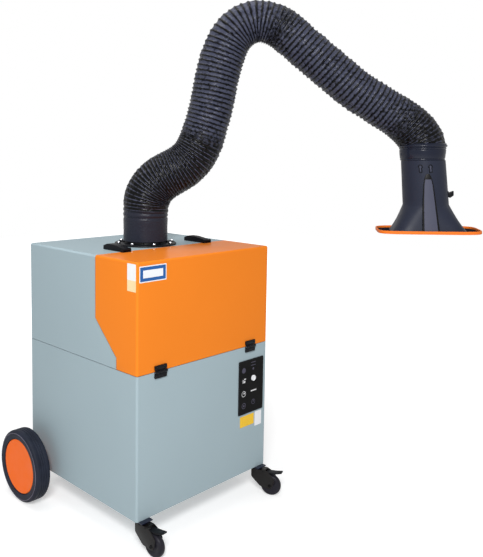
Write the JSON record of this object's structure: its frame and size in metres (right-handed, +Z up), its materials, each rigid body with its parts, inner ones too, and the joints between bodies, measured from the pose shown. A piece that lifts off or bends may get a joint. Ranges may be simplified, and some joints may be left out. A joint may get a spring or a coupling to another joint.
{
  "type": "welding fume extractor",
  "caption": "mobile fume extractor: a filter and fan cabinet on wheels, with a hinged front cover and a jointed ribbed-hose arm that ends in a suction hood",
  "frame": {"origin": "on the floor under the middle of the whole object's bounding box, in metres", "axes": "+Z up, -Y the front with the control panel, +X the right side seen from the front"},
  "size_m": [1.263, 1.2358, 1.7568],
  "materials": {
    "housing_grey": "satin powder coat, light blue grey",
    "cover_orange": "satin powder coat, orange",
    "motor_blue": "enamel over a cast frame",
    "black_plastic": "fine grained moulding",
    "zinc_steel": "zinc plated sheet and bar",
    "cast_aluminium": "as cast",
    "filter_paper": "pleated paper fleece",
    "filter_mat": "loose fibre mat",
    "hood_plastic": "moulded shell, dark slate",
    "rim_orange": "soft edge profile",
    "disc_orange": "moulded wheel disc",
    "tyre_rubber": "solid rubber",
    "hose_fabric": "coated fabric over a wire helix",
    "button_white": "gloss cap"
  },
  "bodies": {
    "housing": {"lower_housing": "housing_grey", "upper_housing": "housing_grey", "partition_plate": "zinc_steel", "fan_inlet_ring": "zinc_steel", "filter_frame": "zinc_steel", "filter_pleats": "filter_paper", "prefilter_mat": "filter_mat", "cover_seal": "black_plastic", "motor_stand": "zinc_steel", "fan_motor": "motor_blue", "exhaust_grille": "black_plastic", "control_box": "housing_grey", "control_panel": "black_plastic", "power_inlet": "black_plastic", "rear_axle": "zinc_steel", "axle_bracket_left": "zinc_steel", "axle_bracket_right": "zinc_steel", "wheel_spacer_left": "black_plastic", "wheel_spacer_right": "black_plastic", "castor_plate_left": "zinc_steel", "castor_plate_right": "zinc_steel", "arm_flange": "black_plastic", "hinge_leaf_lower_left": "black_plastic", "hinge_leaf_lower_right": "black_plastic"},
    "cover": {"front_cover": "cover_orange", "hinge_leaf_upper_left": "black_plastic", "hinge_leaf_upper_right": "black_plastic", "hinge_pin_left": "zinc_steel", "hinge_pin_right": "zinc_steel", "latch_base_left": "black_plastic", "latch_base_right": "black_plastic"},
    "latch_left": {"latch_lever_left": "black_plastic"},
    "latch_right": {"latch_lever_right": "black_plastic"},
    "rear_wheel_left": {"rear_tyre_left": "tyre_rubber", "rear_hub_left": "disc_orange"},
    "rear_wheel_right": {"rear_tyre_right": "tyre_rubber", "rear_hub_right": "disc_orange"},
    "castor_left": {"castor_fork_left": "black_plastic"},
    "castor_right": {"castor_fork_right": "black_plastic"},
    "castor_roller_left": {"castor_wheel_left": "tyre_rubber"},
    "castor_roller_right": {"castor_wheel_right": "tyre_rubber"},
    "castor_brake_left": {"castor_pedal_left": "black_plastic"},
    "castor_brake_right": {"castor_pedal_right": "black_plastic"},
    "fan_wheel": {"impeller": "cast_aluminium"},
    "button": {"start_button": "button_white"},
    "arm_base": {"arm_turntable": "cast_aluminium", "shoulder_bolt": "zinc_steel", "hose_base_bend": "hose_fabric"},
    "arm_lower": {"lower_arm": "zinc_steel", "hose_lower_run": "hose_fabric", "hose_elbow_bend": "hose_fabric"},
    "arm_upper": {"upper_arm": "zinc_steel", "elbow_bolt": "zinc_steel", "wrist_bolt": "zinc_steel", "hose_upper_run": "hose_fabric", "hose_wrist_bend": "hose_fabric"},
    "wrist": {"hood_carrier": "zinc_steel"},
    "hood": {"suction_hood": "hood_plastic", "hood_rim": "rim_orange"},
    "throttle": {"throttle_flap": "black_plastic"}
  },
  "joints": [
    {"name": "cover_hinge", "type": "hinge", "parent": "housing", "child": "cover", "pos_m": [-0.23748, -0.04836, 0.555], "axis": [1, 0, 0], "range_deg": [0, 110]},
    {"name": "latch_left_pivot", "type": "hinge", "parent": "cover", "child": "latch_left", "pos_m": [-0.42348, 0.15344, 0.9083], "axis": [1, 0, 0], "range_deg": [0, 70]},
    {"name": "latch_right_pivot", "type": "hinge", "parent": "cover", "child": "latch_right", "pos_m": [-0.05148, 0.15344, 0.9083], "axis": [1, 0, 0], "range_deg": [0, 70]},
    {"name": "rear_wheel_left_spin", "type": "hinge", "parent": "housing", "child": "rear_wheel_left", "pos_m": [-0.60348, 0.49294, 0.125], "axis": [1, 0, 0], "continuous": true},
    {"name": "rear_wheel_right_spin", "type": "hinge", "parent": "housing", "child": "rear_wheel_right", "pos_m": [0.12852, 0.49294, 0.125], "axis": [1, 0, 0], "continuous": true},
    {"name": "castor_swivel_left_turn", "type": "hinge", "parent": "housing", "child": "castor_left", "pos_m": [-0.50748, -0.03706, 0], "axis": [0, 0, 1], "continuous": true},
    {"name": "castor_wheel_left_spin", "type": "hinge", "parent": "castor_left", "child": "castor_roller_left", "pos_m": [-0.50295, -0.08886, 0.0375], "axis": [0.9962, 0.0872, 0], "continuous": true},
    {"name": "castor_pedal_left_tip", "type": "hinge", "parent": "castor_left", "child": "castor_brake_left", "pos_m": [-0.50399, -0.07691, 0.082], "axis": [0.9962, 0.0872, 0], "range_deg": [0, 12]},
    {"name": "castor_swivel_right_turn", "type": "hinge", "parent": "housing", "child": "castor_right", "pos_m": [0.03252, -0.03706, 0], "axis": [0, 0, 1], "continuous": true},
    {"name": "castor_wheel_right_spin", "type": "hinge", "parent": "castor_right", "child": "castor_roller_right", "pos_m": [0.052, -0.08528, 0.0375], "axis": [0.9272, 0.3746, 0], "continuous": true},
    {"name": "castor_pedal_right_tip", "type": "hinge", "parent": "castor_right", "child": "castor_brake_right", "pos_m": [0.0475, -0.07415, 0.082], "axis": [0.9272, 0.3746, 0], "range_deg": [0, 12]},
    {"name": "fan_spin", "type": "hinge", "parent": "housing", "child": "fan_wheel", "pos_m": [-0.23748, 0.27694, 0.4524], "axis": [0, 0, 1], "continuous": true},
    {"name": "start_button_press", "type": "slide", "parent": "housing", "child": "button", "axis": [0, 1, 0], "range_m": [0, 0.002], "stiffness_N_per_m": 300, "springref_m": -0.002},
    {"name": "arm_swivel", "type": "hinge", "parent": "housing", "child": "arm_base", "pos_m": [-0.23748, 0.27694, 0.9003], "axis": [0, 0, 1], "continuous": true},
    {"name": "arm_shoulder", "type": "hinge", "parent": "arm_base", "child": "arm_lower", "pos_m": [-0.19859, 0.23805, 1.1223], "axis": [0.7071, 0.7071, 0], "range_deg": [-29, 40], "deforming": ["hose_base_bend"]},
    {"name": "arm_elbow", "type": "hinge", "parent": "arm_lower", "child": "arm_upper", "pos_m": [0.01708, 0.02238, 1.6753], "axis": [-0.7071, -0.7071, 0], "range_deg": [-20, 55], "deforming": ["hose_elbow_bend"]},
    {"name": "arm_wrist", "type": "hinge", "parent": "arm_upper", "child": "wrist", "pos_m": [0.43781, -0.39835, 1.3003], "axis": [0.7071, 0.7071, 0], "range_deg": [-50, 50], "deforming": ["hose_wrist_bend"]},
    {"name": "hood_turn", "type": "hinge", "parent": "wrist", "child": "hood", "pos_m": [0.45668, -0.41722, 1.26076], "axis": [-0.0123, 0.0123, 0.9998], "continuous": true},
    {"name": "throttle_turn", "type": "hinge", "parent": "hood", "child": "throttle", "pos_m": [0.46278, -0.42483, 1.0909], "axis": [0.5877, -0.8089, 0.0172], "range_deg": [0, 90]}
  ]
}
